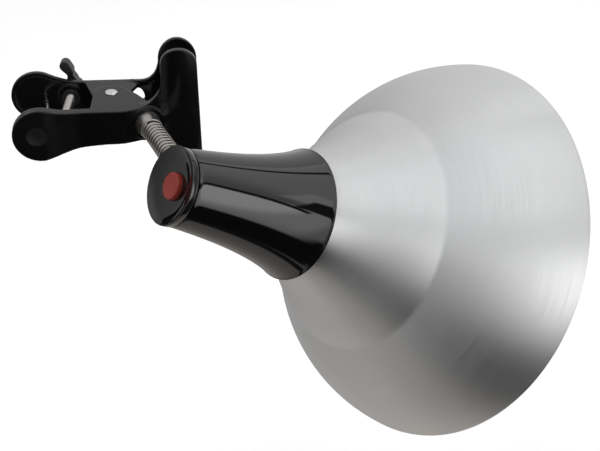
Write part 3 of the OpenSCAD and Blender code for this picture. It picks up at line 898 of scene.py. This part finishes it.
def soft_copy(name, node, voxel, passes):
    """A copy of a moulding with its edges rounded, as they come out of the tool."""
    obj = bpy.data.objects.new(name, frame["nodes"][node].data.copy())
    obj.data.materials.clear()
    bpy.context.scene.collection.objects.link(obj)
    remesh = obj.modifiers.new("remesh", "REMESH")
    remesh.mode = "VOXEL"
    remesh.voxel_size = voxel * MM
    smooth = obj.modifiers.new("smooth", "SMOOTH")
    smooth.factor, smooth.iterations = 0.5, passes
    graph = bpy.context.evaluated_depsgraph_get()
    final = bpy.data.meshes.new_from_object(obj.evaluated_get(graph))
    obj.modifiers.clear()
    obj.data = final
    final.shade_smooth()
    return obj


def mesh_arrays(mesh):
    """Points in millimetres and normals of a mesh's vertices."""
    co, normals = np.empty(len(mesh.vertices) * 3), np.empty(len(mesh.vertices) * 3)
    mesh.vertices.foreach_get("co", co)
    mesh.vertices.foreach_get("normal", normals)
    return co.reshape(-1, 3) / MM, normals.reshape(-1, 3)


def write_points(mesh, points):
    mesh.vertices.foreach_set("co", (points * MM).ravel())
    mesh.update()


def wall_face(x, plate_y, shoulder_x, flare):
    """Distance of a moulding's outer face from the pole, at x along the clamp."""
    def step(t):
        t = np.clip(t, 0, 1)
        return t * t * (3 - 2 * t)

    handle = (JAW_EDGE_Y + (plate_y - JAW_EDGE_Y) * step((-x - JAW_HALF_W) / (shoulder_x - JAW_HALF_W))
              + flare * step((-x - FLARE_X) / FLARE_LEN))
    return np.where(x > -JAW_HALF_W, JAW_EDGE_Y + JAW_BULGE * (1 - (x / JAW_HALF_W) ** 2), handle)


def true_walls(obj, side, shape):
    """Draws the facets of a wall's two faces onto the curve they follow. Side is -1 or 1."""
    points, normals = mesh_arrays(obj.data)
    x = points[:, 0]
    face = wall_face(x, *shape)
    slope = (wall_face(x + 0.05, *shape) - wall_face(x - 0.05, *shape)) / 0.1
    outward_n = np.stack([-slope, np.full_like(x, side), np.zeros_like(x)], 1)
    outward_n /= np.linalg.norm(outward_n, axis=1)[:, None]
    facing = (normals * outward_n).sum(1)
    depth = face - side * points[:, 1]
    clear = np.linalg.norm(points - np.array(DIMPLE), axis=1) > DIMPLE_R + 0.6
    for level, sense in ((0.0, 1), (WALL, -1)):
        weight = np.clip((sense * facing - 0.88) / 0.08, 0, 1) * (abs(depth - level) < 0.6) * clear
        points[:, 1] += side * weight * (depth - level)
    write_points(obj.data, points)
    return obj


def waist(obj):
    """Narrows the knob's wings between its hub and their rounded tips."""
    to_screw = SCREW.inverted()
    points, _ = mesh_arrays(obj.data)
    local = np.array([to_screw @ Vector(p) for p in points])
    reach = abs(local[:, 1])
    middle = -np.sign(local[:, 1]) * np.where(
        reach < 8.4, reach / 8.4, 1 + 0.62 * (reach - 8.4))
    narrow = 1 - 0.44 * np.exp(-(((reach - 9.0) / 1.9) ** 2))
    local[:, 0] = middle + (local[:, 0] - middle) * narrow
    write_points(obj.data, np.array([SCREW @ Vector(p) for p in local]))
    return obj


finish(true_walls(soft_copy("near_clamp_half", "near_half", 0.3, 5), -1, NEAR_WALL), "near_half")
finish(true_walls(soft_copy("far_clamp_half", "far_half", 0.3, 5), 1, FAR_WALL), "far_half")
finish(waist(soft_copy("wing_knob_moulded", "wing_knob", 0.25, 10)), "wing_knob")

# ---- camera, light and floor ----

CAMERA_AT = Vector((-34.48, -550.45, 273.37)) * MM
HEADING, ELEVATION, ROLL = (math.radians(a) for a in (10.938, -32.167, 3.103))
LENS_PX = 1092.7
IMAGE_W = 600
SENSOR = 36.0

looking = Vector((math.cos(ELEVATION) * math.sin(HEADING), math.cos(ELEVATION) * math.cos(HEADING),
                  math.sin(ELEVATION)))
side = looking.cross(Vector((0, 0, 1))).normalized()
up = side.cross(looking)
right = math.cos(ROLL) * side + math.sin(ROLL) * up
above = math.cos(ROLL) * up - math.sin(ROLL) * side
camera = bpy.data.objects.new("camera", bpy.data.cameras.new("camera"))
camera.data.sensor_width = SENSOR
camera.data.lens = LENS_PX * SENSOR / IMAGE_W
camera.data.clip_start = 0.01
camera.matrix_world = Matrix.Translation(CAMERA_AT) @ Matrix(
    (right, above, -looking)).transposed().to_4x4()
bpy.context.scene.collection.objects.link(camera)
bpy.context.scene.camera = camera
bpy.context.scene.view_settings.view_transform = "Standard"


def direction(azimuth, elevation):
    """Unit vector; azimuth from +Y towards +X, both in degrees."""
    a, e = math.radians(azimuth), math.radians(elevation)
    return Vector((math.sin(a) * math.cos(e), math.cos(a) * math.cos(e), math.sin(e)))


def tan(degrees):
    return math.tan(math.radians(degrees))


class Studio:
    """A soft studio painted on the world: panels by direction, pale where the camera looks."""

    def __init__(self, pale, base):
        self.world = bpy.data.worlds.new("studio")
        bpy.context.scene.world = self.world
        self.world.use_nodes = True
        self.tree = self.world.node_tree
        self.tree.nodes.clear()
        self.dir = self.add("ShaderNodeTexCoord").outputs["Generated"]
        start = self.add("ShaderNodeRGB")
        start.outputs[0].default_value = (*base, 1)
        self.colour = start.outputs[0]
        self.pale = pale

    def add(self, kind, **settings):
        node = self.tree.nodes.new(kind)
        for key, value in settings.items():
            setattr(node, key, value)
        return node

    def dot(self, axis):
        node = self.add("ShaderNodeVectorMath", operation="DOT_PRODUCT")
        self.tree.links.new(self.dir, node.inputs[0])
        node.inputs[1].default_value = axis
        return node.outputs["Value"]

    def math(self, operation, a, b=0.0):
        node = self.add("ShaderNodeMath", operation=operation)
        for socket, value in zip(node.inputs, (a, b)):
            if isinstance(value, (int, float)):
                socket.default_value = value
            else:
                self.tree.links.new(value, socket)
        return node.outputs[0]

    def ramp(self, value, low, high, to_low=0.0, to_high=1.0):
        node = self.add("ShaderNodeMapRange", interpolation_type="SMOOTHSTEP")
        self.tree.links.new(value, node.inputs["Value"])
        for key, v in (("From Min", low), ("From Max", high), ("To Min", to_low),
                       ("To Max", to_high)):
            node.inputs[key].default_value = v
        return node.outputs["Result"]

    def blend(self, mask, colour):
        node = self.add("ShaderNodeMix", data_type="RGBA")
        self.tree.links.new(mask, node.inputs["Factor"])
        self.tree.links.new(self.colour, node.inputs["A"])
        node.inputs["B"].default_value = (*colour, 1)
        self.colour = node.outputs["Result"]

    def height_band(self, low, high, colour):
        """Blends to colour between two elevations, in degrees, upwards."""
        self.blend(self.ramp(self.dot((0, 0, 1)), math.sin(math.radians(low)),
                             math.sin(math.radians(high))), colour)

    def panel(self, azimuth, elevation, half_w, half_h, colour, soft=3.0, turn=0.0, fade=0.0,
              crisp=None):
        """A rectangular panel. Sizes, softness of its edges, crispness of its upper edge and
        fade of its lower part are in degrees."""
        front = direction(azimuth, elevation)
        x = front.cross(Vector((0, 0, 1))).normalized()
        y = x.cross(front)
        t = math.radians(turn)
        x, y = math.cos(t) * x + math.sin(t) * y, math.cos(t) * y - math.sin(t) * x
        ahead = self.math("MAXIMUM", self.dot(front), 0.001)
        px = self.math("DIVIDE", self.dot(x), ahead)
        py = self.math("DIVIDE", self.dot(y), ahead)
        in_x = self.ramp(self.math("ABSOLUTE", px), tan(half_w + soft), tan(half_w))
        top = self.ramp(py, tan(half_h + (soft if crisp is None else crisp)), tan(half_h))
        bottom = self.ramp(py, -tan(half_h + soft), -tan(half_h) + tan(fade))
        mask = self.math("MULTIPLY", self.math("MULTIPLY", in_x, top), bottom)
        mask = self.math("MULTIPLY", mask, self.math("GREATER_THAN", self.dot(front), 0.02))
        self.blend(mask, colour)

    def done(self):
        seen = self.add("ShaderNodeLightPath").outputs["Is Camera Ray"]
        self.blend(seen, self.pale)
        background = self.add("ShaderNodeBackground")
        self.tree.links.new(self.colour, background.inputs["Color"])
        out = self.add("ShaderNodeOutputWorld")
        self.tree.links.new(background.outputs[0], out.inputs["Surface"])


def grey(value, warm=0.0):
    return (value * (1 + warm), value, value * (1 - warm))


studio = Studio(pale=(0.94, 0.945, 0.95), base=grey(0.42, 0.07))
studio.height_band(-58, -46, grey(0.32, 0.02))                # dim lower walls
studio.height_band(12, 48, grey(0.76, -0.01))                 # brighter towards the ceiling
studio.panel(15, 28, 36, 42, grey(0.68), 7)                   # pale wall ahead on the left
studio.panel(205, 2, 17, 24, grey(0.16), 8)                   # dim room behind the camera
studio.panel(95, 60, 42, 23, grey(1.0), 3, fade=8)            # overhead panel on the right
studio.panel(50, 38, 1.4, 30, grey(0.05), 1.0)                # gap between wall and panel
studio.panel(128, 42, 8, 5, grey(1.4), 4)                     # the panel's brightest end
studio.panel(150, -4, 15, 30, grey(0.85), 9, fade=32, crisp=2)  # big soft box on the right,
studio.panel(142, -1, 12, 27, grey(1.5), 9, fade=30, crisp=2)  # brightest at its far side
studio.panel(126, 2, 9, 24, grey(2.5), 9, fade=28, crisp=2)
studio.panel(150, 34, 15, 6.5, grey(0.04), 2.5)               # gap above it
studio.panel(118, 26, 22, 1.3, grey(0.04), 1.1, turn=-4)
studio.panel(120, -40, 16, 18, grey(0.05), 7)                 # dark foot of its stand
studio.panel(190, -30, 20, 15, grey(0.02), 9)                 # dark side, behind the camera
studio.panel(160, -42, 16, 17, grey(0.01), 5)
studio.panel(182, -66, 34, 3.5, grey(0.03), 2)                # dark line on the floor
studio.done()


def build_floor():
    lo, hi = (Vector(v) for v in cad_box)
    size = 6.0
    drop = 0.14
    z = lo.z - drop
    mesh = bpy.data.meshes.new("floor")
    c = (lo + hi) / 2
    mesh.from_pydata([(c.x - size, c.y - size, z), (c.x + size, c.y - size, z),
                      (c.x + size, c.y + size, z), (c.x - size, c.y + size, z)], [],
                     [(0, 1, 2, 3)])
    obj = bpy.data.objects.new("floor", mesh)
    bpy.context.scene.collection.objects.link(obj)
    m = Material("floor", (0.94, 0.94, 0.94), 0.9)
    m.tint(m.noise(3.0), (0.935, 0.935, 0.935), (0.955, 0.955, 0.955))
    mesh.materials.append(m.material)
    obj.visible_glossy = False


build_floor()


def area_light(name, azimuth, elevation, distance, size, power, aim):
    light = bpy.data.lights.new(name, "AREA")
    light.shape = "DISK"
    light.size = size
    light.energy = power
    obj = bpy.data.objects.new(name, light)
    away = direction(azimuth, elevation)
    obj.matrix_world = Matrix.Translation(aim + away * distance) @ away.to_track_quat(
        "Z", "Y").to_matrix().to_4x4()
    obj.visible_camera = False
    obj.visible_glossy = False
    bpy.context.scene.collection.objects.link(obj)


AIM = (Vector(cad_box[0]) + Vector(cad_box[1])) / 2
area_light("key", 60, 65, 1.6, 1.6, 14, AIM)
area_light("fill", -120, 50, 1.8, 1.6, 6, AIM)
